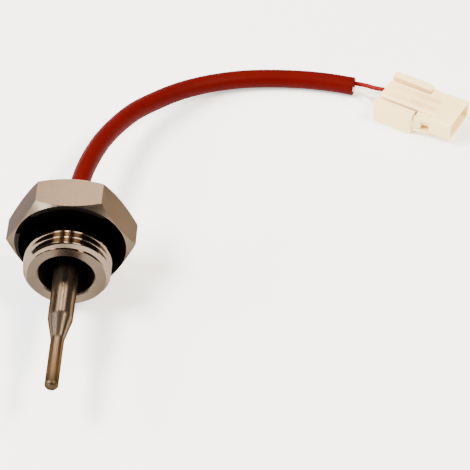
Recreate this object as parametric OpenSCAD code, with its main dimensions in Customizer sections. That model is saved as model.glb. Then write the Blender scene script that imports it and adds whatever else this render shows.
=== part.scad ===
// Screw-in boiler probe: hexagon plug with a pipe thread, rubber sealing washer,
// stepped closed-end sheath with its sensing bead, sleeved two-wire lead and
// two-way nylon connector with a latch lever on each side.
// Frame: the origin is the centre of the sealing face on the thread axis,
// -Y points to the probe's tip, +Z is up, and the part lies on a hexagon flat.

/* [Plug] */
// Hexagon size across its flats
hex_af = 27; // [26:0.5:30]
// Thickness of the hexagon
hex_t = 9; // [8.5:0.5:12]
// Radius of the chamfer circle on both hexagon faces
chamfer_r = 13.4; // [12.6:0.1:13.5]
// Length of the threaded spigot from the sealing face
spigot_len = 10; // [9.5:0.5:14]
// Radius of the turned relief behind the thread
relief_r = 9.2; // [8.8:0.1:9.3]
// Radius of the deep bore around the probe
counterbore_r = 6.7; // [5:0.1:7.5]
// Thickness of the web that holds the sheath
web_t = 3; // [2:0.5:4]
// Radius of the potting pocket in the back
pocket_r = 6; // [4.5:0.5:8]
// Depth of the potting pocket
pocket_depth = 4; // [2:0.5:5]

/* [Thread] */
// Outside diameter of the half-inch parallel pipe thread
thread_major = 20.955; // [20.8:0.005:21]
// Pitch of the thread, 14 turns per inch
thread_pitch = 1.814; // [1.8:0.001:1.82]
// Distance from the sealing face to the first crest
first_crest = 5.3; // [5:0.1:5.6]
// Number of full crests
crests = 3; // [2:1:4]

/* [Washer] */
// Outside radius of the sealing washer
washer_r = 12.3; // [11.5:0.1:12.6]
// Inside radius of the sealing washer
washer_bore_r = 9.3; // [9.25:0.05:9.8]
// Thickness of the sealing washer
washer_t = 1.5; // [1:0.1:2]

/* [Sheath] */
// Outside diameter of the wide part of the sheath
sheath_d = 6; // [5.5:0.1:6.5]
// Outside diameter of the thin tip
tip_d = 3.2; // [2.8:0.1:3.5]
// Distance from the sealing face to the start of the taper
taper_start = 23.5; // [20:0.5:26]
// Length of the taper
taper_len = 6.5; // [4:0.5:7]
// Distance from the sealing face to the end of the tip
insert_len = 44.6; // [43:0.1:60]
// Height of the domed end of the tip
dome_h = 1; // [0.8:0.1:1.3]

/* [Lead] */
// Outside diameter of the silicone sleeve
sleeve_d = 4.8; // [4.6:0.1:4.9]
// Inside diameter of the silicone sleeve
sleeve_bore_d = 3.8; // [3.7:0.1:3.9]
// Diameter over the insulation of each wire
wire_d = 1.2; // [1:0.1:1.2]
// Distance of each wire from the middle of the sleeve
wire_off = 1.15; // [1.1:0.05:1.2]

/* [Connector] */
// Length of the housing with its hood
conn_len = 21.6; // [21:0.2:24]
// Width of the housing's body between the levers
conn_w = 6.8; // [6.8:0.1:7]
// Height of the housing's body
conn_h = 6.4; // [6.2:0.1:6.6]
// Distance between the two contacts
contact_pitch = 3; // [2.9:0.1:3.1]
// Width of the hood at the front
hood_w = 11.2; // [11.1:0.1:12]
// Depth of the hood's open mouth
hood_depth = 5.2; // [4.6:0.2:5.6]
// Wall of the hood
hood_wall = 0.7; // [0.6:0.1:0.8]
// Direction of the connector on the table, degrees from +X
conn_yaw = -26.5; // [-30:0.5:-20]

/* [Hidden] */
$fn = 96;

// Colours
steel = [0.72, 0.68, 0.63];
black_rubber = [0.03, 0.03, 0.03];
nylon = [0.95, 0.93, 0.86];
tin = [0.75, 0.75, 0.72];

// Plug
hex_corner_r = hex_af / 2 / cos(30);
table_z = -hex_af / 2;
chamfer_run = (hex_corner_r + 1 - chamfer_r) * tan(30);
pocket_floor = hex_t - pocket_depth;
web_front = pocket_floor - web_t;
mouth_chamfer = 0.3;

// Thread form: 55 degree flanks with small flats on crest and root
crest_r = thread_major / 2;
thread_depth = 1.162;
root_r = crest_r - thread_depth;
half_crest = 0.15;
half_base = half_crest + thread_depth * tan(27.5);
spigot_face_r = 9.55;

// Sheath
sheath_r = sheath_d / 2;
tip_r = tip_d / 2;
sheath_wall = 0.5;
tip_wall = 0.4;
sheath_back = 8;
tube_end = insert_len - dome_h;
stub_len = 1.4;
dome_ball_r = (tip_r * tip_r + dome_h * dome_h) / 2 / dome_h;

// Pieces inside the sheath, by their distance from the sealing face
bead_at = 39.4;
bead_r = 0.7;
bead_half = 0.5;
lead_r = 0.125;
lead_tube_r = 0.25;
lead_in = [0.3, 38.7];
lead_out = [wire_off, 12.6];
lead_tube_span = [15.6, 37.6];
filler_span = [33, tube_end - stub_len];
splice_r = 0.7;
splice_span = [9, 14.5];
shrink_r = 1;
shrink_span = [7.2, 15.2];
core_r = 0.3;
insulation_end = 8;
core_end = 11.4;

// Connector, in its own frame: x from back to front, y to the far side, z up
conn_at = [74.6, 68.1];
body_back = 0.5;
cavity_r = 1.3;
cavity_z = 3.6;
cavity_y = contact_pitch / 2;
hood_back = 15.7;
hood_z = [1.4, 6.9];
mouth_floor = conn_len - hood_depth;
pivot = [12.4, 5];
pivot_pin_r = 0.5;
pivot_bore_r = 0.56;
cheek_z = [[1.3, 2.2], [4.9, 5.8]];
plate_z = [0.2, 6.4];
hub_z = [2.4, 4.7];
arm_z = [2.8, 4.2];
slot_y = [3.4, 4.95];
slot_z = [2.5, 4.5];
wire_end_x = 4.8;

// Route of the silicone sleeve, from inside the sheath to its cut end
sleeve_route = [
    [0, 1, 0], [0, 9, 0], [0, 16, 0], [0.6, 23, -0.1], [1.9, 30, -0.7],
    [4, 37.5, -1.7], [7, 45, -3.2], [11, 52.5, -5], [16, 58.8, -6.8],
    [22, 64.6, -8.4], [29, 69.2, -9.8], [37, 72.2, -10.6], [45, 73.5, -11],
    [53, 73.7, -11.1], [60, 73.1, -11.1], [66.8, 71.9, -11.1]
];
// Free points of each wire between the sleeve and the connector
red_free = [[69.6, 72.3, -10.9], [72.4, 71, -10.6]];
white_free = [[69.3, 69.9, -10.9], [71.3, 68.2, -10.6]];

// Vector helpers and the ring of points around a path
function unit(v) = v / norm(v);
function tangent(path, i) = unit(path[min(i + 1, len(path) - 1)] - path[max(i - 1, 0)]);
function left_of(t) = unit([-t[1], t[0], 0]);
function ring(path, i, r, sides) =
    let (t = tangent(path, i), left = left_of(t), up = cross(t, left))
    [for (k = [0:sides - 1])
        path[i] + r * (cos(360 * k / sides) * left + sin(360 * k / sides) * up)];
function rings(path, r, sides) = [for (i = [0:len(path) - 1]) each ring(path, i, r, sides)];
function offset_path(path, off) = [for (i = [0:len(path) - 1])
    path[i] + off * left_of(tangent(path, i))];
function conn_point(x, y, z) = [
    conn_at[0] + x * cos(conn_yaw) - y * sin(conn_yaw),
    conn_at[1] + x * sin(conn_yaw) + y * cos(conn_yaw),
    table_z + z];
function wire_route(side, free) = concat(
    [[-side * wire_off, -insulation_end, 0]],
    offset_path(sleeve_route, side * wire_off),
    free,
    [conn_point(-0.6, side * cavity_y, cavity_z), conn_point(2, side * cavity_y, cavity_z),
     conn_point(wire_end_x, side * cavity_y, cavity_z)]);

// Side triangles between neighbouring rings, and the closed ends
function wall_faces(count, sides, first) = [
    for (i = [0:count - 2], k = [0:sides - 1])
        let (a = first + i * sides + k, b = first + i * sides + (k + 1) % sides)
        each [[a, a + sides, b + sides], [a, b + sides, b]]];
function flipped(faces) = [for (f = faces) [f[2], f[1], f[0]]];
function rim_faces(outer, inner, sides) = [
    for (k = [0:sides - 1])
        let (a = outer + k, b = outer + (k + 1) % sides,
             c = inner + (k + 1) % sides, d = inner + k)
        each [[a, b, c], [a, c, d]]];

// Solid rod swept along a path
module swept_rod(path, r, sides) {
    last = (len(path) - 1) * sides;
    polyhedron(
        points = rings(path, r, sides),
        faces = concat(
            [[for (k = [0:sides - 1]) k]],
            wall_faces(len(path), sides, 0),
            [[for (k = [sides - 1:-1:0]) last + k]]));
}

// Hollow tube swept along a path
module swept_tube(path, r, bore_r, sides) {
    count = len(path);
    inner = count * sides;
    last = (count - 1) * sides;
    polyhedron(
        points = concat(rings(path, r, sides), rings(path, bore_r, sides)),
        faces = concat(
            wall_faces(count, sides, 0),
            flipped(wall_faces(count, sides, inner)),
            rim_faces(0, inner, sides),
            flipped(rim_faces(last, inner + last, sides))));
}

// Turns a shape drawn along +Z so that its height runs towards the probe's tip
module to_tip() {
    rotate([90, 0, 0]) children();
}

// Round bar or hole between two distances from the sealing face
module round_bar(r, from, to) {
    translate([0, 0, from]) cylinder(h = to - from, r = r);
}

// Moves a shape into the connector's place on the table
module in_connector() {
    translate([conn_at[0], conn_at[1], table_z]) rotate([0, 0, conn_yaw]) children();
}

// Round bar along the connector's length
module conn_bar(r, from, to, y) {
    translate([from, y, cavity_z]) rotate([0, 90, 0]) cylinder(h = to - from, r = r);
}

module hexagon() {
    intersection() {
        translate([0, 0, -hex_t]) cylinder(h = hex_t, r = hex_corner_r, $fn = 6);
        rotate_extrude() polygon([
            [0, -hex_t], [chamfer_r, -hex_t],
            [hex_corner_r + 1, chamfer_run - hex_t],
            [hex_corner_r + 1, -chamfer_run],
            [chamfer_r, 0], [0, 0]]);
    }
}

module threaded_spigot() {
    crest_at = [for (i = [0:crests - 1]) first_crest + i * thread_pitch];
    last_flat = crest_at[crests - 1] + half_crest;
    rotate_extrude() polygon(concat(
        [[0, -1], [relief_r, -1], [relief_r, first_crest - half_base - 0.15]],
        [for (i = [0:crests - 1]) each [
            [root_r, crest_at[i] - half_base],
            [crest_r, crest_at[i] - half_crest],
            [crest_r, crest_at[i] + half_crest],
            if (i < crests - 1) [root_r, crest_at[i] + half_base]]],
        [[spigot_face_r, max(spigot_len, last_flat + 0.5)],
         [0, max(spigot_len, last_flat + 0.5)]]));
}

module plug_body() {
    color(steel) to_tip() difference() {
        union() {
            hexagon();
            threaded_spigot();
        }
        round_bar(counterbore_r, -web_front, spigot_len + 5);
        translate([0, 0, spigot_len - mouth_chamfer])
            cylinder(h = 2 * mouth_chamfer, r1 = counterbore_r, r2 = counterbore_r + 2 * mouth_chamfer);
        round_bar(sheath_r, -hex_t - 1, 1);
        round_bar(pocket_r, -hex_t - 1, -pocket_floor);
    }
}

module sealing_washer() {
    edge = 0.25;
    color(black_rubber) to_tip() rotate_extrude() polygon([
        [washer_bore_r, 0], [washer_r - edge, 0], [washer_r, edge],
        [washer_r, washer_t - edge], [washer_r - edge, washer_t],
        [washer_bore_r + edge, washer_t], [washer_bore_r, washer_t - edge]]);
}

// Outline of the stepped tube, or of its bore, from the back to the front
function step_outline(back_r, front_r, back, front) = [
    [back_r, back], [back_r, taper_start], [front_r, taper_start + taper_len], [front_r, front]];

module probe_sheath() {
    color(steel) to_tip() difference() {
        rotate_extrude() polygon(concat(
            [[0, -sheath_back]], step_outline(sheath_r, tip_r, -sheath_back, tube_end),
            [[0, tube_end]]));
        rotate_extrude() polygon(concat(
            [[0, -sheath_back - 1]],
            step_outline(sheath_r - sheath_wall, tip_r - tip_wall, -sheath_back - 1, tube_end + 1),
            [[0, tube_end + 1]]));
    }
}

module tip_cap() {
    color(steel) to_tip() union() {
        round_bar(tip_r - tip_wall, tube_end - stub_len, tube_end);
        intersection() {
            translate([0, 0, insert_len - dome_ball_r]) sphere(r = dome_ball_r);
            round_bar(tip_r, tube_end, insert_len + 1);
        }
    }
}

module braze_ring() {
    color([0.7, 0.62, 0.45]) to_tip() rotate_extrude() polygon([
        [sheath_r, -web_front], [sheath_r + 1, -web_front], [sheath_r, 1 - web_front]]);
}

// Slanted bar along one of the bead's leads, side +1 for red and -1 for white
module lead_bar(side, r, from, to) {
    slope = atan((lead_out[0] - lead_in[0]) / (lead_in[1] - lead_out[1]));
    run = lead_in[1] - from;
    translate([-side * (lead_in[0] + run * tan(slope)), 0, from])
        rotate([0, side * slope, 0])
            cylinder(h = (to - from) / cos(slope), r = r);
}

module bead_shape() {
    round_bar(bead_r, bead_at - bead_half, bead_at + bead_half);
    for (end = [-1, 1])
        translate([0, 0, bead_at + end * bead_half]) sphere(r = bead_r);
}

module sensing_bead() {
    color([0.35, 0.16, 0.08]) to_tip() difference() {
        bead_shape();
        for (side = [-1, 1]) lead_bar(side, lead_r, lead_out[1], lead_in[1]);
    }
}

module thermal_filler() {
    color([0.85, 0.85, 0.82]) to_tip() difference() {
        round_bar(tip_r - tip_wall, filler_span[0], filler_span[1]);
        bead_shape();
        for (side = [-1, 1]) {
            lead_bar(side, lead_r, lead_out[1], lead_in[1]);
            lead_bar(side, lead_tube_r, lead_tube_span[0], lead_tube_span[1]);
        }
    }
}

module bead_lead(side) {
    color(tin) to_tip() lead_bar(side, lead_r, lead_out[1], lead_in[1]);
}

module lead_tube(side) {
    color([0.9, 0.88, 0.8]) to_tip() difference() {
        lead_bar(side, lead_tube_r, lead_tube_span[0], lead_tube_span[1]);
        lead_bar(side, lead_r, lead_out[1], lead_in[1]);
    }
}

module splice(side) {
    color(tin) to_tip() difference() {
        translate([-side * wire_off, 0, 0]) round_bar(splice_r, splice_span[0], splice_span[1]);
        lead_bar(side, lead_r, lead_out[1], lead_in[1]);
        translate([-side * wire_off, 0, 0]) round_bar(core_r, insulation_end, core_end);
    }
}

module shrink(side) {
    color([0.12, 0.12, 0.12]) to_tip() translate([-side * wire_off, 0, 0]) difference() {
        round_bar(shrink_r, shrink_span[0], shrink_span[1]);
        round_bar(splice_r, shrink_span[0] - 1, shrink_span[1] + 1);
    }
}

// Bare conductor at both ends of one wire
module core(side) {
    color([0.8, 0.55, 0.35]) {
        to_tip() translate([-side * wire_off, 0, 0]) round_bar(core_r, insulation_end, core_end);
        in_connector() conn_bar(core_r, wire_end_x, 7.4, side * cavity_y);
    }
}

module potting() {
    color([0.15, 0.14, 0.13]) to_tip() difference() {
        round_bar(pocket_r, -hex_t, -pocket_floor);
        round_bar(sheath_r, -sheath_back, 0);
        round_bar(sleeve_d / 2, -hex_t - 1, -sheath_back + 0.5);
    }
}

module silicone_sleeve() {
    color([0.62, 0.06, 0.05]) swept_tube(sleeve_route, sleeve_d / 2, sleeve_bore_d / 2, 12);
}

module wire(side, free) {
    swept_rod(wire_route(side, free), wire_d / 2, 8);
}

// Crimped pin contact: insulation grip, conductor grip, flanged barrel and round pin
module contact(side) {
    y = side * cavity_y;
    pin_r = 0.5;
    barrel_end = 15.6;
    tip_x = 20.3;
    color(tin) in_connector() difference() {
        union() {
            conn_bar(0.85, 2.6, 4.6, y);
            translate([4.5, y - 0.4, cavity_z - 0.84]) cube([0.9, 0.8, 0.3]);
            conn_bar(0.75, 5.2, 8, y);
            conn_bar(1.05, 8, barrel_end, y);
            conn_bar(1.2, 9, 9.7, y);
            conn_bar(pin_r, barrel_end, tip_x - 0.4, y);
            translate([tip_x - 0.4, y, cavity_z]) rotate([0, 90, 0])
                cylinder(h = 0.4, r1 = pin_r, r2 = 0.2);
        }
        conn_bar(0.61, 2, wire_end_x, y);
        conn_bar(core_r, wire_end_x - 0.1, 7.4, y);
    }
}

// Block along the connector with its four long edges chamfered
module long_block(from, to, half, low, high, edge) {
    translate([from, 0, 0]) rotate([90, 0, 90]) linear_extrude(height = to - from) polygon([
        [-half, low + edge], [edge - half, low], [half - edge, low], [half, low + edge],
        [half, high - edge], [half - edge, high], [edge - half, high], [-half, high - edge]]);
}

// Guards above and below one lever, which carry its pivot
module cheeks() {
    for (band = cheek_z)
        translate([0, 0, band[0]]) linear_extrude(height = band[1] - band[0])
            polygon([[11.6, 3], [16, 3], [16, 5.5], [13.2, 6.1], [11.6, 6.3]]);
}

module connector_housing() {
    half = conn_w / 2;
    hood_half = hood_w / 2;
    color(nylon) in_connector() difference() {
        union() {
            long_block(body_back, hood_back + 0.5, half, 0, conn_h, 0.4);
            long_block(hood_back, conn_len, hood_half, hood_z[0], hood_z[1], 0.5);
            for (side = [0, 1]) mirror([0, side, 0]) cheeks();
        }
        translate([mouth_floor, hood_wall - hood_half, hood_z[0] + hood_wall])
            cube([hood_depth + 1, hood_w - 2 * hood_wall, hood_z[1] - hood_z[0] - 2 * hood_wall]);
        for (side = [-1, 1])
            conn_bar(cavity_r, -1, mouth_floor + 0.5, side * cavity_y);
        for (side = [0, 1]) mirror([0, side, 0]) {
            translate([pivot[0], pivot[1], 0]) cylinder(h = conn_h, r = pivot_bore_r);
            translate([hood_back - 1, slot_y[0], slot_z[0]])
                cube([mouth_floor - hood_back + 2, slot_y[1] - slot_y[0], slot_z[1] - slot_z[0]]);
        }
    }
}

// Rocking latch lever: thumb plate at the back, pivot, and hook in the hood
module latch(side) {
    color(nylon) in_connector() mirror([0, side > 0 ? 0 : 1, 0]) {
        translate([0, 0, plate_z[0]]) linear_extrude(height = plate_z[1] - plate_z[0])
            polygon([[0.2, 4.7], [11.2, 4.5], [11.2, 6.6], [10, 6.9], [1, 6.9], [0.2, 6.4]]);
        translate([0, 0, hub_z[0]]) linear_extrude(height = hub_z[1] - hub_z[0])
            polygon([[11.1, 4.51], [13.4, 4], [13.4, 5.8], [11.1, 6.5]]);
        translate([0, 0, arm_z[0]]) linear_extrude(height = arm_z[1] - arm_z[0])
            polygon([[13.2, 4], [18.2, 3.75], [18.2, 3.25], [18.6, 3.25], [19.3, 3.75],
                     [19.3, 4.25], [13.2, 4.75]]);
        translate([pivot[0], pivot[1], cheek_z[0][0]])
            cylinder(h = cheek_z[1][1] - cheek_z[0][0], r = pivot_pin_r);
    }
}

plug_body();
sealing_washer();
probe_sheath();
tip_cap();
braze_ring();
thermal_filler();
sensing_bead();
bead_lead(1);  // bead_lead_red
bead_lead(-1);  // bead_lead_white
lead_tube(1);  // lead_tube_red
lead_tube(-1);  // lead_tube_white
splice(1);  // splice_red
splice(-1);  // splice_white
shrink(1);  // shrink_red
shrink(-1);  // shrink_white
core(1);  // core_red
core(-1);  // core_white
potting();
silicone_sleeve();
color([0.75, 0.06, 0.05]) wire(1, red_free);  // wire_red
color([0.93, 0.92, 0.9]) wire(-1, white_free);  // wire_white
contact(1);  // contact_red
contact(-1);  // contact_white
connector_housing();
latch(-1);  // latch_near
latch(1);  // latch_far
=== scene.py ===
"""Screw-in boiler probe: plug with pipe thread, stepped sheath, sleeved lead and nylon connector."""

import math

import bpy
from bpy.props import FloatProperty, FloatVectorProperty, IntProperty, PointerProperty, StringProperty
from mathutils import Matrix, Vector


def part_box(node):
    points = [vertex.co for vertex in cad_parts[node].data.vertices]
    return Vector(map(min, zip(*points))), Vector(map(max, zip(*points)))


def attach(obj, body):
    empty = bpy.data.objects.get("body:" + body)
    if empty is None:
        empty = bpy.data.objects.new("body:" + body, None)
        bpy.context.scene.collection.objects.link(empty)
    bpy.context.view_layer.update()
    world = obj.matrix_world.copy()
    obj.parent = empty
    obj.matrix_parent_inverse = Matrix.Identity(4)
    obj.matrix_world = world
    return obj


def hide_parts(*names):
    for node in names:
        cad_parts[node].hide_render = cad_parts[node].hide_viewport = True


bl_info = {
    "name": "Screw-in Boiler Probe",
    "version": (1, 0, 0),
    "blender": (4, 5, 0),
    "location": "View3D > Sidebar > Boiler Probe",
    "description": "Builds the plug, sheath, lead and connector of a boiler probe",
    "category": "Add Mesh",
}

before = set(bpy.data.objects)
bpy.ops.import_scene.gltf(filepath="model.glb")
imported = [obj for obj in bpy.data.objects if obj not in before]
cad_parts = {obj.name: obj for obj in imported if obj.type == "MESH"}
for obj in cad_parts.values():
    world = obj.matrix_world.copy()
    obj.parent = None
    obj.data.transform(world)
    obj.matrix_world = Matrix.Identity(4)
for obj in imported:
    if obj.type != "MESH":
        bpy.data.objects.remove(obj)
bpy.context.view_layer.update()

MM = 0.001
BODY = "probe"
TABLE_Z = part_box("plug_body")[0][2]
HEX_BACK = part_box("plug_body")[1][1]
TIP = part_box("tip_cap")[0][1]

# Flats round a turned piece: the plug's fine ones and the sheath's
FINE_SIDES = 192
SIDES = 96

# Route of the silicone sleeve, from inside the plug to its cut end, in metres
SLEEVE_ROUTE = [
    (0.0, 0.001, 0.0), (0.0, 0.009, 0.0), (0.0, 0.016, 0.0), (0.0006, 0.023, -0.0001),
    (0.0019, 0.030, -0.0007), (0.004, 0.0375, -0.0017), (0.007, 0.045, -0.0032),
    (0.011, 0.0525, -0.005), (0.016, 0.0588, -0.0068), (0.022, 0.0646, -0.0084),
    (0.029, 0.0692, -0.0098), (0.037, 0.0722, -0.0106), (0.045, 0.0735, -0.011),
    (0.053, 0.0737, -0.0111), (0.060, 0.0731, -0.0111), (0.0668, 0.0719, -0.0111),
]
# Free points of each wire between the sleeve and the connector, in metres
RED_FREE = [(0.0696, 0.0723, -0.0109), (0.0724, 0.0710, -0.0106)]
WHITE_FREE = [(0.0693, 0.0699, -0.0109), (0.0713, 0.0682, -0.0106)]

# The connector's place on the table: the middle of its back end, and its direction
CONNECTOR_AT = Vector((0.0746, 0.0681, 0))
CONNECTOR_YAW = math.radians(-26.5)
CONNECTOR_LENGTH = 0.0216
# Where the contacts' axes run: to either side of the connector's middle, and above the table
CONTACT_SIDE = 0.0015
CONTACT_RISE = 0.0036

# The floor lies this far under the table contact, so that the two faces don't flicker
FLOOR_GAP = 0.00002


# ---------------------------------------------------------------- settings


def size(name, about, default):
    """A length in metres that a user can change."""
    return FloatProperty(name=name, description=about, default=default, min=0, unit="LENGTH", precision=5)


class PlugSettings(bpy.types.PropertyGroup):
    flats: size("Across flats", "Hexagon size across its flats", 0.027)
    hex_depth: size("Hexagon depth", "Thickness of the hexagon", HEX_BACK)
    chamfer: size("Chamfer circle", "Radius of the chamfer circle on both faces", 0.0134)
    thread: size("Thread radius", "Outside radius of the pipe thread", 0.0104775)
    root: size("Root radius", "Radius at the bottom of the thread's grooves", 0.0093155)
    pitch: size("Pitch", "Distance between two crests", 0.001814)
    crest: size("First crest", "Distance from the sealing face to the first crest", 0.0053)
    spigot: size("Spigot", "Length of the spigot from the sealing face", 0.010)
    relief: size("Relief radius", "Radius of the turned relief behind the thread", 0.0092)
    bore: size("Bore radius", "Radius of the deep bore around the sheath", 0.0067)
    web: size("Web", "Distance from the sealing face back to the bore's floor", 0.002)
    pocket: size("Pocket radius", "Radius of the potting pocket", 0.006)
    pocket_floor: size("Pocket floor", "Distance from the sealing face to the pocket's floor", 0.005)


class SheathSettings(bpy.types.PropertyGroup):
    wide: size("Wide radius", "Radius of the wide part of the sheath", 0.003)
    thin: size("Thin radius", "Radius of the thin tip", 0.0016)
    wall: size("Wall", "Wall of the wide part", 0.0005)
    thin_wall: size("Thin wall", "Wall of the thin tip", 0.0004)
    taper: size("Taper start", "Distance from the sealing face to the taper", 0.0235)
    taper_length: size("Taper length", "Length of the taper", 0.0065)
    dome: size("Dome", "Height of the domed end", 0.001)


class LeadSettings(bpy.types.PropertyGroup):
    sleeve: size("Sleeve diameter", "Outside diameter of the silicone sleeve", 0.0048)
    sleeve_wall: size("Sleeve wall", "Wall of the silicone sleeve", 0.0005)
    wire: size("Wire diameter", "Diameter over each wire's insulation", 0.0012)
    wire_offset: size("Wire offset", "Distance of each wire from the sleeve's middle", 0.00115)


class StageSettings(bpy.types.PropertyGroup):
    camera_at: FloatVectorProperty(
        name="Camera place", description="Where the camera stands",
        default=(0.0574, -0.4042, 0.4278), subtype="TRANSLATION", unit="LENGTH")
    azimuth: FloatProperty(
        name="Azimuth", description="Direction the camera looks in, from +Y",
        default=math.radians(-2.56), subtype="ANGLE", unit="ROTATION")
    elevation: FloatProperty(
        name="Elevation", description="How far the camera looks down",
        default=math.radians(46.19), subtype="ANGLE", unit="ROTATION")
    roll: FloatProperty(
        name="Roll", description="Turn of the camera about its own line of sight",
        default=math.radians(0.545), subtype="ANGLE", unit="ROTATION")
    lens: FloatProperty(
        name="Lens", description="Focal length on a 36 mm sensor", default=189.5, unit="CAMERA")


# ---------------------------------------------------------------- small helpers


def linear(hex_colour):
    """An sRGB hex colour such as b7aea1 as a linear RGBA."""
    parts = [int(hex_colour[i:i + 2], 16) / 255 for i in (0, 2, 4)]
    return [c / 12.92 if c <= 0.04045 else ((c + 0.055) / 1.055) ** 2.4 for c in parts] + [1.0]


def node(tree, kind, inputs=None, **settings):
    """Adds a shader node. inputs maps a socket to a value or to the output that feeds it."""
    made = tree.nodes.new(kind)
    for key, value in settings.items():
        setattr(made, key, value)
    for key, value in (inputs or {}).items():
        if isinstance(value, bpy.types.NodeSocket):
            tree.links.new(value, made.inputs[key])
        else:
            made.inputs[key].default_value = value
    return made


def new_material(name):
    """An empty material's node tree, and its shader."""
    material = bpy.data.materials.new(name)
    material.use_nodes = True
    tree = material.node_tree
    return material, tree, tree.nodes["Principled BSDF"]


def ramp(tree, factor, stops):
    """A colour ramp; stops are (position, linear colour)."""
    made = node(tree, "ShaderNodeValToRGB", {"Fac": factor})
    elements = made.color_ramp.elements
    while len(elements) < len(stops):
        elements.new(0.5)
    for element, (position, colour) in zip(elements, stops):
        element.position = position
        element.color = colour
    return made.outputs["Color"]


def grey(value):
    """A linear grey."""
    return (value, value, value, 1.0)


def paint(piece, material):
    """Gives a piece or a CAD node one material all over."""
    if not piece.material_slots:
        piece.data.materials.append(material)
    for material_slot in piece.material_slots:
        material_slot.material = material


def deselect():
    """Clears the selection, because an operator acts on all that is selected."""
    bpy.ops.object.select_all(action="DESELECT")


def pick(*pieces):
    """Selects only these pieces; the first is active."""
    deselect()
    for piece in pieces:
        piece.select_set(True)
    bpy.context.view_layer.objects.active = pieces[0]


def settle(piece):
    """Puts a piece's place in its mesh, with its object at the origin."""
    pick(piece)
    bpy.ops.object.transform_apply(location=True, rotation=True, scale=True)
    return piece


def apply_all(piece):
    """Applies the piece's modifiers, first to last."""
    pick(piece)
    for modifier in list(piece.modifiers):
        bpy.ops.object.modifier_apply(modifier=modifier.name)


def face_outwards(piece, merge=1e-7):
    """Merges points closer than merge, in metres, and turns every face outwards."""
    pick(piece)
    bpy.ops.object.mode_set(mode="EDIT")
    bpy.ops.mesh.select_all(action="SELECT")
    bpy.ops.mesh.remove_doubles(threshold=merge)
    bpy.ops.mesh.normals_make_consistent(inside=False)
    bpy.ops.object.mode_set(mode="OBJECT")


def smooth(piece, angle=30):
    """Smooth shading, with large faces kept flat beside the small faces of a rounded edge."""
    pick(piece)
    bpy.ops.object.shade_smooth_by_angle(angle=math.radians(angle))
    piece.modifiers.new("Flat faces", "WEIGHTED_NORMAL").keep_sharp = True
    apply_all(piece)


def turned(name, stations, sides=SIDES, ring=False):
    """A piece turned about the thread axis. stations are (radius, y), from the back to the front;
    a ring's last station meets its first, and any other shape is closed by flat ends."""
    radius, y = stations[0]
    deselect()
    bpy.ops.mesh.primitive_circle_add(
        vertices=sides, radius=radius, fill_type="NOTHING" if ring else "NGON",
        location=(0, y, 0), rotation=(math.pi / 2, 0, 0))
    piece = bpy.context.object
    piece.name = name
    settle(piece)
    bpy.ops.object.mode_set(mode="EDIT")
    bpy.ops.mesh.select_all(action="SELECT")
    for next_radius, next_y in stations[1:]:
        bpy.ops.mesh.extrude_region_move(TRANSFORM_OT_translate={"value": (0, next_y - y, 0)})
        factor = next_radius / radius
        bpy.ops.transform.resize(value=(factor, 1, factor), center_override=(0, next_y, 0))
        radius, y = next_radius, next_y
    bpy.ops.object.mode_set(mode="OBJECT")
    face_outwards(piece)
    return piece


def combine(piece, other, operation):
    """Joins, cuts or keeps the common part of two closed pieces; other is used up."""
    modifier = piece.modifiers.new(operation, "BOOLEAN")
    modifier.operation = operation
    modifier.solver = "EXACT"
    modifier.object = other
    apply_all(piece)
    bpy.data.objects.remove(other, do_unlink=True)
    return piece


def arc(centre, radius, start, end, steps):
    """Stations along an arc in the (radius, y) plane; angles in degrees, 0 along +radius."""
    angles = [math.radians(start + (end - start) * i / steps) for i in range(steps + 1)]
    return [(centre[0] + radius * math.cos(a), centre[1] + radius * math.sin(a)) for a in angles]


def refined(name, cad_node, width):
    """A copy of a CAD node with its sharp edges rounded."""
    deselect()
    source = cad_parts[cad_node]
    piece = bpy.data.objects.new(name, source.data.copy())
    bpy.context.scene.collection.objects.link(piece)
    pick(piece)
    bpy.ops.object.mode_set(mode="EDIT")
    bpy.ops.mesh.select_all(action="SELECT")
    bpy.ops.mesh.remove_doubles(threshold=1e-6)
    bpy.ops.mesh.dissolve_limited(angle_limit=math.radians(1))
    bpy.ops.object.mode_set(mode="OBJECT")
    bevel = piece.modifiers.new("Edges", "BEVEL")
    bevel.width = width
    bevel.segments = 2
    bevel.limit_method = "ANGLE"
    bevel.angle_limit = math.radians(40)
    bevel.use_clamp_overlap = True
    apply_all(piece)
    smooth(piece, 35)
    return piece


def finish_piece(piece, material, body=BODY, stands_for=()):
    """Paints a finished piece, and says which body it rides on and which CAD nodes it stands for."""
    paint(piece, material)
    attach(piece, body)
    if stands_for:
        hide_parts(*stands_for)


def on_curve(points, per_span):
    """Points of a smooth curve that passes through the given ones."""
    path = [Vector(p) for p in points]
    path = [2 * path[0] - path[1]] + path + [2 * path[-1] - path[-2]]
    made = []
    for a, b, c, d in zip(path, path[1:], path[2:], path[3:]):
        for i in range(per_span):
            t = i / per_span
            made.append(0.5 * (2 * b + (c - a) * t + (2 * a - 5 * b + 4 * c - d) * t * t
                               + (3 * b - a - 3 * c + d) * t ** 3))
    return made + [path[-2]]


def beside(points, offset):
    """The same route, moved to its left along the table."""
    made = []
    for i, point in enumerate(points):
        ahead = Vector(points[min(i + 1, len(points) - 1)])
        along = ahead - Vector(points[max(i - 1, 0)])
        left = Vector((-along.y, along.x, 0)).normalized()
        made.append(Vector(point) + offset * left)
    return made


def at_connector(x, y, z):
    """A point given along, across and above the connector's place on the table."""
    turn = Matrix.Rotation(CONNECTOR_YAW, 4, "Z")
    return CONNECTOR_AT + turn @ Vector((x, y, 0)) + Vector((0, 0, TABLE_Z + z))


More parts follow.
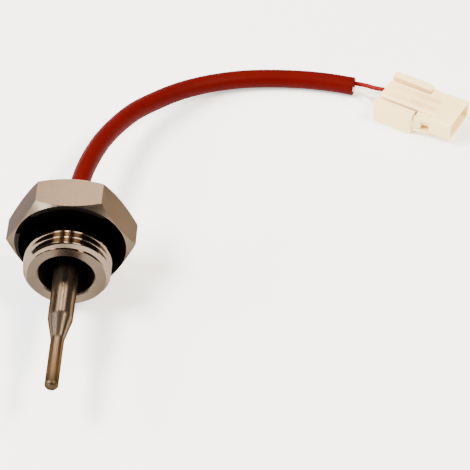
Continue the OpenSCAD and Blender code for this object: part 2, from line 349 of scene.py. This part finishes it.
def cord_curve(name, points, diameter):
    """A round cord as one open spline."""
    data = bpy.data.curves.new(name, "CURVE")
    data.dimensions = "3D"
    data.bevel_depth = diameter / 2
    data.bevel_resolution = 6
    data.use_fill_caps = True
    spline = data.splines.new("POLY")
    spline.points.add(len(points) - 1)
    for spline_point, point in zip(spline.points, points):
        spline_point.co = (*point, 1)
    spline.use_smooth = True
    piece = bpy.data.objects.new(name, data)
    bpy.context.scene.collection.objects.link(piece)
    return piece


# ---------------------------------------------------------------- materials


def plated_metal(name, colour, edge, roughness, grain_mm, depth, mottle=0.04):
    """A satin plated metal, with a fine grain and faint cloudy patches in its tone and shine."""
    material, tree, shader = new_material(name)
    place = node(tree, "ShaderNodeTexCoord").outputs["Object"]
    grain = node(tree, "ShaderNodeTexNoise", {
        "Vector": place, "Scale": 1000 / grain_mm, "Detail": 5.0, "Roughness": 0.65}).outputs["Fac"]
    patch = node(tree, "ShaderNodeTexNoise", {
        "Vector": place, "Scale": 260.0, "Detail": 3.0}).outputs["Fac"]
    base = linear(colour)
    darker = [c * (1 - 3 * mottle) for c in base[:3]] + [1]
    tone = node(tree, "ShaderNodeMath", {0: patch, 1: grain}, operation="ADD").outputs["Value"]
    half = node(tree, "ShaderNodeMath", {0: tone, 1: 0.5}, operation="MULTIPLY").outputs["Value"]
    tree.links.new(ramp(tree, half, [(0.35, darker), (0.62, base)]), shader.inputs["Base Color"])
    shine = node(tree, "ShaderNodeMapRange", {
        "Value": grain, "From Min": 0.3, "From Max": 0.7,
        "To Min": roughness - mottle, "To Max": roughness + mottle})
    tree.links.new(shine.outputs["Result"], shader.inputs["Roughness"])
    bump = node(tree, "ShaderNodeBump", {"Height": grain, "Strength": depth, "Distance": 0.00002})
    tree.links.new(bump.outputs["Normal"], shader.inputs["Normal"])
    shader.inputs["Metallic"].default_value = 1.0
    shader.inputs["Specular Tint"].default_value = linear(edge)
    return material


def nickel_satin():
    """Nickel plate over milled brass: warm brownish grey, satin, with a grain of a third of a
    millimetre that breaks up its reflections."""
    return plated_metal("Nickel-plated brass, satin", "594e42", "a0a0a4", 0.29, 0.3, 0.1, 0.04)


def nickel_turned():
    """Nickel plate over turned brass: the cutter leaves crests that mirror, and shallow rings
    1.6 mm apart that bend their glints a little."""
    material = plated_metal("Nickel-plated brass, turned bright", "706355", "b4b2b0", 0.12, 0.5, 0.04, 0.02)
    tree = material.node_tree
    shader = tree.nodes["Principled BSDF"]
    place = node(tree, "ShaderNodeTexCoord").outputs["Object"]
    rings = node(tree, "ShaderNodeTexWave", {
        "Vector": place, "Scale": 200.0, "Distortion": 0.4, "Detail": 1.0},
        wave_type="RINGS", rings_direction="Y").outputs["Fac"]
    bump = node(tree, "ShaderNodeBump", {"Height": rings, "Strength": 0.06, "Distance": 0.00002})
    tree.links.new(bump.outputs["Normal"], shader.inputs["Normal"])
    return material


def washer_shade_face():
    """The turned face under the washer: a smooth cut with painted shade that makes it near black, as dark as
    the washer beside it.
    """
    return plated_metal("Nickel-plated brass, painted washer shade", "0c0a08", "2c2824", 0.14, 0.5, 0.03, 0.02)


def bore_painted_shade():
    """The deep bore: dull drilled brass, its brown-black colour painted shade for the dark deep inside the
    bore.
    """
    material = plated_metal("Drilled brass, painted bore shade", "17130f", "6e6458", 0.55, 0.4, 0.3, 0.05)
    material.node_tree.nodes["Principled BSDF"].inputs["Metallic"].default_value = 0.6
    return material


def drawn_stainless(name="Stainless steel tube, drawn", tint_start=-0.029):
    """Drawn stainless tube: smoother than the plug, with straw and brown heat tint from
    tint_start to the weld at the tip, its edge ragged by about a millimetre."""
    material, tree, shader = new_material(name)
    place = node(tree, "ShaderNodeTexCoord").outputs["Object"]
    part = node(tree, "ShaderNodeSeparateXYZ", {"Vector": place}).outputs
    along = part["Y"]
    cloud = node(tree, "ShaderNodeTexNoise", {
        "Vector": place, "Scale": 700.0, "Detail": 4.0}).outputs["Fac"]
    ragged = 0.0012
    spread = node(tree, "ShaderNodeMath", {0: cloud, 1: ragged}, operation="MULTIPLY").outputs["Value"]
    edge = node(tree, "ShaderNodeMath", {0: along, 1: spread}, operation="ADD").outputs["Value"]
    heat = node(tree, "ShaderNodeMapRange", {
        "Value": edge, "From Min": tint_start, "From Max": TIP + 0.0002, "To Min": 0.0, "To Max": 1.0})
    colour = ramp(tree, heat.outputs["Result"], [
        (0.0, linear("625548")), (0.15, linear("655340")), (0.7, linear("5e4b36")), (0.95, linear("3a3022"))])
    tree.links.new(colour, shader.inputs["Base Color"])
    outward = node(tree, "ShaderNodeCombineXYZ", {"X": part["X"], "Z": part["Z"]}).outputs["Vector"]
    round_axis = node(tree, "ShaderNodeVectorMath", {0: outward}, operation="NORMALIZE").outputs["Vector"]
    # Die lines: drawn far coarser than real ones, so that they show, and 25 mm long
    lines_round = 9.0
    lines_per_metre = 40.0
    run = node(tree, "ShaderNodeMath", {0: along, 1: lines_per_metre}, operation="MULTIPLY").outputs["Value"]
    shift = node(tree, "ShaderNodeCombineXYZ", {"Y": run}).outputs["Vector"]
    lines = node(tree, "ShaderNodeVectorMath", {
        0: round_axis, 1: (lines_round,) * 3, 2: shift}, operation="MULTIPLY_ADD").outputs["Vector"]
    scratch = node(tree, "ShaderNodeTexNoise", {
        "Vector": lines, "Scale": 1.0, "Detail": 3.0}).outputs["Fac"]
    bump = node(tree, "ShaderNodeBump", {"Height": scratch, "Strength": 0.12, "Distance": 0.00001})
    tree.links.new(bump.outputs["Normal"], shader.inputs["Normal"])
    shine = node(tree, "ShaderNodeMapRange", {
        "Value": scratch, "From Min": 0.3, "From Max": 0.7, "To Min": 0.24, "To Max": 0.32})
    dull = node(tree, "ShaderNodeMath", {
        0: heat.outputs["Result"], 1: 0.16, 2: shine.outputs["Result"]}, operation="MULTIPLY_ADD")
    tree.links.new(dull.outputs["Value"], shader.inputs["Roughness"])
    shader.inputs["Metallic"].default_value = 1.0
    shader.inputs["Specular Tint"].default_value = linear("76767a")
    return material


def soft_polymer(name, colour, roughness, grain_mm, depth=0.3, ior=1.5, spread=0.0, radius_mm=0.5, tone=0.12,
                 gloss=0.5):
    """A moulded or extruded polymer: slight tone variation, a fine grain and soft depth."""
    material, tree, shader = new_material(name)
    place = node(tree, "ShaderNodeTexCoord").outputs["Object"]
    grain = node(tree, "ShaderNodeTexNoise", {
        "Vector": place, "Scale": 1000 / grain_mm, "Detail": 4.0, "Roughness": 0.6}).outputs["Fac"]
    cloud = node(tree, "ShaderNodeTexNoise", {
        "Vector": place, "Scale": 120.0, "Detail": 2.0}).outputs["Fac"]
    base = linear(colour)
    darker = [c * (1 - tone) for c in base[:3]] + [1]
    tree.links.new(ramp(tree, cloud, [(0.3, darker), (0.7, base)]), shader.inputs["Base Color"])
    shine = node(tree, "ShaderNodeMapRange", {
        "Value": grain, "From Min": 0.3, "From Max": 0.7,
        "To Min": roughness - 0.05, "To Max": roughness + 0.05})
    tree.links.new(shine.outputs["Result"], shader.inputs["Roughness"])
    bump = node(tree, "ShaderNodeBump", {"Height": grain, "Strength": depth, "Distance": 0.00002})
    tree.links.new(bump.outputs["Normal"], shader.inputs["Normal"])
    shader.inputs["IOR"].default_value = ior
    shader.inputs["Specular IOR Level"].default_value = gloss
    shader.inputs["Subsurface Weight"].default_value = spread
    shader.inputs["Subsurface Radius"].default_value = (1.0, 1.0, 1.0)
    shader.inputs["Subsurface Scale"].default_value = radius_mm * MM
    return material


def nitrile_rubber():
    """Moulded nitrile rubber: near black, with a dull skin."""
    return soft_polymer("Nitrile rubber, moulded", "010101", 0.8, 0.15, gloss=0.0)


def red_silicone():
    """Extruded silicone rubber: deep red with a soft satin skin."""
    return soft_polymer(
        "Silicone rubber, extruded red", "450201", 0.55, 0.3, 0.35, 1.41, 0.0, 0.5, gloss=0.05)


def red_insulation():
    """Silicone on the red wire: brighter and a little glossier than the sleeve."""
    return soft_polymer(
        "Silicone insulation, extruded bright red", "6c0402", 0.5, 0.2, 0.2, 1.41, 0.0, 0.3, gloss=0.12)


def white_insulation():
    """Silicone on the white wire: milky, with light soaking in."""
    return soft_polymer("Silicone insulation, extruded white", "ebe8e2", 0.38, 0.2, 0.2, 1.41, 0.2, 0.3)


def natural_nylon():
    """Unfilled nylon 66, moulded: milky cream. Light soaks into its thin walls, warmer the deeper it goes.
    Where a wall is within about two millimetres of a contact, its colour carries a painted shade, the faint
    brown of the metal seen through it, stronger along the contact's thick barrel."""
    material = soft_polymer("Nylon 66, moulded natural", "fbdc9c", 0.33, 0.25, 0.25, 1.53, 0.5, 1.2, 0.05)
    tree = material.node_tree
    shader = tree.nodes["Principled BSDF"]
    shader.inputs["Subsurface Radius"].default_value = (1.0, 0.7, 0.4)
    place = node(tree, "ShaderNodeTexCoord").outputs["Object"]
    local = node(tree, "ShaderNodeMapping", {
        "Vector": place, "Location": at_connector(0, 0, CONTACT_RISE),
        "Rotation": (0, 0, CONNECTOR_YAW)}, vector_type="TEXTURE")
    part = node(tree, "ShaderNodeSeparateXYZ", {"Vector": local.outputs["Vector"]})
    across = node(tree, "ShaderNodeMath", {0: part.outputs["Y"]}, operation="ABSOLUTE").outputs["Value"]
    beyond = node(tree, "ShaderNodeMath", {0: across, 1: CONTACT_SIDE}, operation="SUBTRACT").outputs["Value"]
    reach = node(tree, "ShaderNodeCombineXYZ", {"Y": beyond, "Z": part.outputs["Z"]}).outputs["Vector"]
    gap = node(tree, "ShaderNodeVectorMath", {0: reach}, operation="LENGTH").outputs["Value"]
    full_shade_within, no_shade_past = 0.0023, 0.0031
    close = node(tree, "ShaderNodeMapRange", {
        "Value": gap, "From Min": full_shade_within, "From Max": no_shade_past,
        "To Min": 1.0, "To Max": 0.0})
    along = node(tree, "ShaderNodeMath", {
        0: part.outputs["X"], 1: 1 / CONNECTOR_LENGTH}, operation="MULTIPLY").outputs["Value"]
    # Painted shade along the connector: half over the contacts' wire grips, full over their barrels
    metal = ramp(tree, along, [(0.1, grey(0)), (0.16, grey(0.5)), (0.36, grey(0.5)), (0.42, grey(1)),
                               (0.7, grey(1)), (0.76, grey(0))])
    shade = node(tree, "ShaderNodeMath", {
        0: close.outputs["Result"], 1: metal}, operation="MULTIPLY").outputs["Value"]
    tone = shader.inputs["Base Color"].links[0].from_socket
    # Painted shade: near a contact the cream is mixed towards the brown b87a3c, for the metal seen through
    # the wall
    mixed = node(tree, "ShaderNodeMix", {0: shade, 6: tone, 7: linear("b87a3c")}, data_type="RGBA")
    tree.links.new(mixed.outputs[2], shader.inputs["Base Color"])
    return material


def cast_epoxy():
    """Cast epoxy: dark and glossy, with a slightly wavy poured surface."""
    return soft_polymer("Epoxy, cast black", "171412", 0.22, 1.2, 0.5, 1.55, gloss=0.3)


def tinned_bronze():
    """Bright tin over phosphor bronze, slightly cloudy."""
    return plated_metal("Tin-plated phosphor bronze", "c9c7bf", "f4f2ec", 0.22, 0.2, 0.15)


def silver_braze():
    """A silver-brazed fillet: pale yellow and a little rough from the flux."""
    return plated_metal("Silver braze", "bfa66a", "f0e4c4", 0.38, 0.3, 0.3)


def bare_copper():
    """Bare copper strands: warm and a little rough."""
    return plated_metal("Copper strands", "c98a5f", "f4d8c0", 0.3, 0.2, 0.3)


# ---------------------------------------------------------------- operators


class PROBE_OT_camera(bpy.types.Operator):
    """Stands the camera in front of and above the probe"""
    bl_idname = "probe.camera"
    bl_label = "Camera"

    def execute(self, context):
        stage = context.scene.probe_stage
        a, e, roll = stage.azimuth, stage.elevation, stage.roll
        ahead = Vector((math.sin(a) * math.cos(e), math.cos(a) * math.cos(e), -math.sin(e)))
        right = Vector((math.cos(a), -math.sin(a), 0))
        up = right.cross(ahead)
        side = math.cos(roll) * right + math.sin(roll) * up
        top = math.cos(roll) * up - math.sin(roll) * right
        data = bpy.data.cameras.new("Camera")
        data.lens = stage.lens
        data.clip_start, data.clip_end = 0.01, 20
        camera = bpy.data.objects.new("Camera", data)
        camera.matrix_world = Matrix.Translation(stage.camera_at) @ Matrix(
            (side, top, -ahead)).transposed().to_4x4()
        context.scene.collection.objects.link(camera)
        context.scene.camera = camera
        return {"FINISHED"}


class PROBE_OT_lead(bpy.types.Operator):
    """Makes the silicone sleeve and the two wires that run through it"""
    bl_idname = "probe.lead"
    bl_label = "Lead"

    def execute(self, context):
        lead = context.scene.probe_lead
        path = on_curve(SLEEVE_ROUTE, 6)
        sleeve = cord_curve("sleeve", path, lead.sleeve)
        sleeve.data.use_fill_caps = False
        pick(sleeve)
        bpy.ops.object.convert(target="MESH")
        sleeve = context.object
        wall = sleeve.modifiers.new("Wall", "SOLIDIFY")
        wall.thickness = lead.sleeve_wall
        wall.offset = -1
        apply_all(sleeve)
        smooth(sleeve, 40)
        finish_piece(sleeve, red_silicone(), BODY, ["silicone_sleeve"])

        for colour, hand, free, material in (
                ("red", 1, RED_FREE, red_insulation()), ("white", -1, WHITE_FREE, white_insulation())):
            start = Vector((-hand * lead.wire_offset, -0.008, 0))
            points = [start] + beside(SLEEVE_ROUTE, hand * lead.wire_offset) + [Vector(p) for p in free]
            points += [at_connector(x, hand * CONTACT_SIDE, CONTACT_RISE) for x in (-0.0006, 0.002, 0.0048)]
            path = on_curve(points, 5)
            wire = cord_curve("insulation_" + colour, path, lead.wire)
            finish_piece(wire, material, BODY, ["wire_" + colour])
        return {"FINISHED"}


class PROBE_OT_plug(bpy.types.Operator):
    """Makes the hexagon plug with its helical pipe thread, deep bore and potting pocket"""
    bl_idname = "probe.plug"
    bl_label = "Plug"

    def hexagon(self, plug):
        """The hexagon, chamfered at 30 degrees on both faces, with its edges just broken."""
        corner = plug.flats / 2 / math.cos(math.radians(30))
        deselect()
        bpy.ops.mesh.primitive_cylinder_add(
            vertices=6, radius=corner, depth=plug.hex_depth, location=(0, plug.hex_depth / 2, 0),
            rotation=(math.pi / 2, math.radians(30), 0))
        piece = bpy.context.object
        piece.name = "plug"
        settle(piece)
        rise = (corner + MM - plug.chamfer) * math.tan(math.radians(30))
        envelope = turned("Chamfers", [
            (plug.chamfer, plug.hex_depth), (corner + MM, plug.hex_depth - rise),
            (corner + MM, rise), (plug.chamfer, 0)], FINE_SIDES)
        combine(piece, envelope, "INTERSECT")
        edges = piece.modifiers.new("Edges", "BEVEL")
        edges.width = 0.00012
        edges.segments = 2
        edges.limit_method = "ANGLE"
        edges.angle_limit = math.radians(22)
        apply_all(piece)
        return piece

    def thread(self, plug):
        """A ridge of the thread's 55 degree form, wound about the axis and cut to the spigot."""
        height = plug.thread - plug.root
        flat = 0.00015
        base = flat + height * math.tan(math.radians(27.5))
        sunk = 0.0003
        turns = 6
        turns_before_crest = 4
        start = -plug.crest - turns_before_crest * plug.pitch
        deselect()
        bpy.ops.mesh.primitive_plane_add(
            size=1, location=(0, start, (plug.root + plug.thread - sunk) / 2), rotation=(0, math.pi / 2, 0))
        ridge = bpy.context.object
        ridge.scale = (height + sunk, 2 * base, 1)
        settle(ridge)
        bpy.ops.object.mode_set(mode="EDIT")
        bpy.ops.mesh.select_all(action="DESELECT")
        bpy.ops.object.mode_set(mode="OBJECT")
        middle = (plug.root + plug.thread) / 2
        for vertex in ridge.data.vertices:
            vertex.select = vertex.co.z > middle
        bpy.ops.object.mode_set(mode="EDIT")
        bpy.ops.mesh.select_mode(type="VERT")
        bpy.ops.transform.resize(value=(1, flat / base, 1), center_override=(0, start, plug.thread))
        bpy.ops.mesh.select_all(action="SELECT")
        bpy.ops.mesh.delete(type="ONLY_FACE")
        bpy.ops.object.mode_set(mode="OBJECT")
        wind = ridge.modifiers.new("Wind", "SCREW")
        wind.axis = "Y"
        wind.screw_offset = plug.pitch
        wind.iterations = turns
        wind.steps = wind.render_steps = 96
        apply_all(ridge)
        bpy.ops.object.mode_set(mode="EDIT")
        bpy.ops.mesh.select_all(action="SELECT")
        bpy.ops.mesh.fill_holes(sides=0)
        bpy.ops.object.mode_set(mode="OBJECT")
        face_outwards(ridge)
        lead_in = 0.0013
        clear = plug.thread + 0.0002
        cut = turned("Thread cut", [
            (plug.relief - 0.0001, -0.0039), (clear, -0.0046), (clear, -plug.spigot + lead_in),
            (0.0095, -plug.spigot)], FINE_SIDES)
        return combine(ridge, cut, "INTERSECT")

    def zones(self, piece, plug):
        """Gives the turned faces their own finish, and paints the bore and the face under the washer near
        black as shade; the end face stays satin.
        """
        for material in (nickel_turned(), bore_painted_shade(), washer_shade_face()):
            piece.data.materials.append(material)
        turned_finish, bore_shade_finish, washer_shade_finish = 1, 2, 3
        slack = 0.00003
        mouth_edge = 0.0003
        for face in piece.data.polygons:
            x, y, z = face.center
            radius = math.hypot(x, z)
            end_face = y < -plug.spigot + slack or radius < plug.bore + mouth_edge
            # Painted shade: the bore's walls are brown-black
            if radius < plug.bore + slack and plug.web + slack > y > -plug.spigot + mouth_edge:
                face.material_index = bore_shade_finish
            # Painted shade: the face under the washer is near black, as dark as the washer beside it
            elif abs(y) < slack and radius < plug.chamfer and face.normal.y < -0.9:
                face.material_index = washer_shade_finish
            elif y < slack and radius < plug.chamfer and not end_face:
                face.material_index = turned_finish

    def execute(self, context):
        plug = context.scene.probe_plug
        piece = self.hexagon(plug)
        core = turned("Core", [
            (plug.relief, 0.001), (plug.relief, -0.0041), (plug.root, -0.0043),
            (plug.root, -plug.spigot + 0.0001), (plug.root - 0.0001, -plug.spigot)], FINE_SIDES)
        combine(piece, core, "UNION")
        combine(piece, self.thread(plug), "UNION")
        sheath = context.scene.probe_sheath.wide
        mouth = 0.0003
        drill = turned("Drill", [
            (plug.pocket, plug.hex_depth + MM), (plug.pocket, plug.pocket_floor), (sheath, plug.pocket_floor),
            (sheath, plug.web), (plug.bore, plug.web), (plug.bore, -plug.spigot + mouth),
            (plug.bore + 2 * mouth, -plug.spigot - mouth)], FINE_SIDES)
        combine(piece, drill, "DIFFERENCE")
        face_outwards(piece, merge=2e-6)
        smooth(piece, 25)
        finish_piece(piece, nickel_satin(), BODY, ["plug_body"])
        self.zones(piece, plug)
        return {"FINISHED"}


class PROBE_OT_sheath(bpy.types.Operator):
    """Makes the stepped sheath and its welded, domed cap"""
    bl_idname = "probe.sheath"
    bl_label = "Sheath"

    def step(self, sheath, back_radius, front_radius, back, front):
        """Stations of the stepped tube: a straight taper, its two shoulders eased over half a
        millimetre each way, as swaging leaves them."""
        ease = 0.0005
        steps = 6
        start = Vector((back_radius, -sheath.taper))
        end = Vector((front_radius, -sheath.taper - sheath.taper_length))
        reach = (end - start).normalized() * ease
        along = Vector((0, -ease))
        stations = [(back_radius, back)]
        for before, at, after in ((start - along, start, start + reach), (end - reach, end, end + along)):
            for i in range(steps + 1):
                t = i / steps
                stations.append(tuple(before * (1 - t) ** 2 + at * 2 * t * (1 - t) + after * t * t))
        return stations + [(front_radius, front)]

    def execute(self, context):
        sheath = context.scene.probe_sheath
        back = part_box("probe_sheath")[1][1]
        end = TIP + sheath.dome
        outer = self.step(sheath, sheath.wide, sheath.thin, back, end)
        inner = self.step(sheath, sheath.wide - sheath.wall, sheath.thin - sheath.thin_wall, back, end)
        tube = turned("sheath_tube", outer + inner[::-1] + [outer[0]], ring=True)
        smooth(tube, 40)
        metal = drawn_stainless()
        finish_piece(tube, metal, BODY, ["probe_sheath"])

        # The cap: a stub inside the tube, a small bead of weld round its rim, and the dome
        stub = 0.0014
        inset = 0.0001
        pole = 0.00002
        socket = sheath.thin - sheath.thin_wall
        rim = sheath.thin - inset
        bead = arc((rim, end), 0.00014, 90, -60, 6)
        dome = []
        for angle in range(14, 90, 8):
            a = math.radians(angle)
            dome.append((rim * math.cos(a), end - inset - (sheath.dome - inset) * math.sin(a)))
        cap = turned("tip_weld", [(socket, end + stub), (socket, end)] + bead + dome + [(pole, TIP)])
        smooth(cap, 45)
        weld = drawn_stainless("Stainless weld, heat tinted", -0.035)
        finish_piece(cap, weld, BODY, ["tip_cap"])
        return {"FINISHED"}


class PROBE_OT_potting(bpy.types.Operator):
    """Fills the back pocket with epoxy that climbs a little up the sleeve"""
    bl_idname = "probe.potting"
    bl_label = "Potting"

    def execute(self, context):
        plug = context.scene.probe_plug
        sheath = context.scene.probe_sheath
        sleeve = context.scene.probe_lead.sleeve / 2
        top = plug.hex_depth
        sheath_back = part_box("probe_sheath")[1][1]
        # The poured surface dips half a millimetre between the pocket's wall and the sleeve
        stations = [(plug.pocket, plug.pocket_floor), (plug.pocket, top - 0.0001),
                    (plug.pocket - 0.0004, top - 0.0003), (4 * MM, top - 0.0005),
                    (sleeve + 0.0006, top - 0.0003), (sleeve + 0.00015, top - 0.00002), (sleeve, top)]
        stations += [(sleeve, sheath_back), (sheath.wide, sheath_back), (sheath.wide, plug.pocket_floor),
                     (plug.pocket, plug.pocket_floor)]
        fill = turned("epoxy", stations, ring=True)
        smooth(fill, 50)
        finish_piece(fill, cast_epoxy(), BODY, ["potting"])
        return {"FINISHED"}


class PROBE_OT_connector(bpy.types.Operator):
    """Rounds the edges of the nylon housing and its two latch levers"""
    bl_idname = "probe.connector"
    bl_label = "Connector"

    def execute(self, context):
        nylon = natural_nylon()
        housing = refined("housing", "connector_housing", 0.00018)
        finish_piece(housing, nylon, BODY, ["connector_housing"])
        for side in ("near", "far"):
            lever = refined("lever_" + side, "latch_" + side, 0.00015)
            finish_piece(lever, nylon, side + "_lever", ["latch_" + side])
        return {"FINISHED"}


class PROBE_OT_finishes(bpy.types.Operator):
    """Gives the pieces whose CAD shape is already right their finishes"""
    bl_idname = "probe.finishes"
    bl_label = "Finishes"

    def execute(self, context):
        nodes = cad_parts
        bronze, copper = tinned_bronze(), bare_copper()
        tube = soft_polymer("Polyimide tube, extruded", "d9c58a", 0.3, 0.2)
        shrink = soft_polymer("Polyolefin shrink tube", "1c1c1c", 0.45, 0.3)
        paint(nodes["sealing_washer"], nitrile_rubber())
        paint(nodes["braze_ring"], silver_braze())
        paint(nodes["thermal_filler"], soft_polymer("Heat paste, white", "e2e2dd", 0.55, 0.1))
        paint(nodes["sensing_bead"], soft_polymer("Glass bead, fused", "5a2a16", 0.12, 0.4, 0.1, 1.52))
        for colour in ("red", "white"):
            for kind, material in (("contact_", bronze), ("splice_", bronze), ("bead_lead_", bronze),
                                   ("core_", copper), ("lead_tube_", tube), ("shrink_", shrink)):
                paint(nodes[kind + colour], material)
        return {"FINISHED"}


class PROBE_OT_stage(bpy.types.Operator):
    """Lays the pale floor and hangs the soft lights"""
    bl_idname = "probe.stage"
    bl_label = "Stage"

    def light(self, name, place, target, width, height, power, colour="ffffff"):
        """An area lamp, sizes in metres and power in watts, that the camera doesn't see."""
        data = bpy.data.lights.new(name, "AREA")
        data.shape = "RECTANGLE"
        data.size, data.size_y = width, height
        data.energy = power
        data.color = linear(colour)[:3]
        lamp = bpy.data.objects.new(name, data)
        lamp.location = place
        lamp.visible_camera = False
        lamp.rotation_mode = "QUATERNION"
        lamp.rotation_quaternion = (Vector(target) - Vector(place)).to_track_quat("-Z", "Y")
        bpy.context.scene.collection.objects.link(lamp)

    def execute(self, context):
        deselect()
        bpy.ops.mesh.primitive_plane_add(size=6, location=(0, 0, TABLE_Z - FLOOR_GAP))
        floor = settle(context.object)
        floor.name = "floor"
        material, tree, shader = new_material("Floor, matt white card")
        place = node(tree, "ShaderNodeTexCoord").outputs["Object"]
        fleck = node(tree, "ShaderNodeTexNoise", {"Vector": place, "Scale": 30.0}).outputs["Fac"]
        tree.links.new(ramp(tree, fleck, [(0.0, grey(0.9)), (1.0, grey(0.93))]), shader.inputs["Base Color"])
        shader.inputs["Roughness"].default_value = 0.9
        shader.inputs["Emission Color"].default_value = linear("fffdf8")
        shader.inputs["Emission Strength"].default_value = 0.75
        paint(floor, material)

        world = bpy.data.worlds.new("Studio")
        world.use_nodes = True
        background = world.node_tree.nodes["Background"]
        background.inputs["Color"].default_value = linear("fffdf8")
        background.inputs["Strength"].default_value = 0.12
        context.scene.world = world
        # Three narrow lamps at the back give the thread and the sheath separate glints
        middle = (0.02, 0.01, 0)
        self.light("Left softbox", (-0.6, -0.15, 0.9), middle, 0.6, 0.25, 34.0)
        self.light("Left strip", (-0.85, -0.05, 0.5), middle, 0.6, 0.12, 11.5)
        self.light("Right softbox", (0.6, -0.1, 0.8), middle, 0.6, 0.2, 25.0, "fff2e0")
        self.light("Back left panel", (-0.55, 0.9, 1.0), middle, 0.3, 0.4, 5.5, "fff0dd")
        self.light("Back strip", (-0.08, 0.95, 1.0), middle, 0.14, 0.5, 6.6, "fff0dd")
        self.light("Back right panel", (0.4, 0.9, 1.0), middle, 0.3, 0.4, 4.5, "fff0dd")
        self.light("Front window", (-0.55, -1.0, 0.13), middle, 0.2, 0.14, 7.0)
        return {"FINISHED"}


class PROBE_PT_panel(bpy.types.Panel):
    """Lists the steps that build the boiler probe"""
    bl_idname = "PROBE_PT_panel"
    bl_label = "Boiler Probe"
    bl_space_type = "VIEW_3D"
    bl_region_type = "UI"
    bl_category = "Boiler Probe"

    def draw(self, context):
        for step in STEPS:
            self.layout.operator(step.bl_idname)


SETTINGS = {
    "probe_plug": PlugSettings, "probe_sheath": SheathSettings,
    "probe_lead": LeadSettings, "probe_stage": StageSettings,
}
STEPS = (PROBE_OT_camera, PROBE_OT_lead, PROBE_OT_plug, PROBE_OT_sheath, PROBE_OT_potting,
         PROBE_OT_connector, PROBE_OT_finishes, PROBE_OT_stage)


def register():
    for group in (*SETTINGS.values(), *STEPS, PROBE_PT_panel):
        bpy.utils.register_class(group)
    for name, group in SETTINGS.items():
        setattr(bpy.types.Scene, name, PointerProperty(type=group))


def unregister():
    for name in SETTINGS:
        delattr(bpy.types.Scene, name)
    for group in (PROBE_PT_panel, *STEPS, *SETTINGS.values()):
        bpy.utils.unregister_class(group)


def main():
    register()
    bpy.ops.probe.camera()
    bpy.ops.probe.lead()
    bpy.ops.probe.plug()
    bpy.ops.probe.sheath()
    bpy.ops.probe.potting()
    bpy.ops.probe.connector()
    bpy.ops.probe.finishes()
    bpy.ops.probe.stage()


if __name__ == "__main__":
    main()
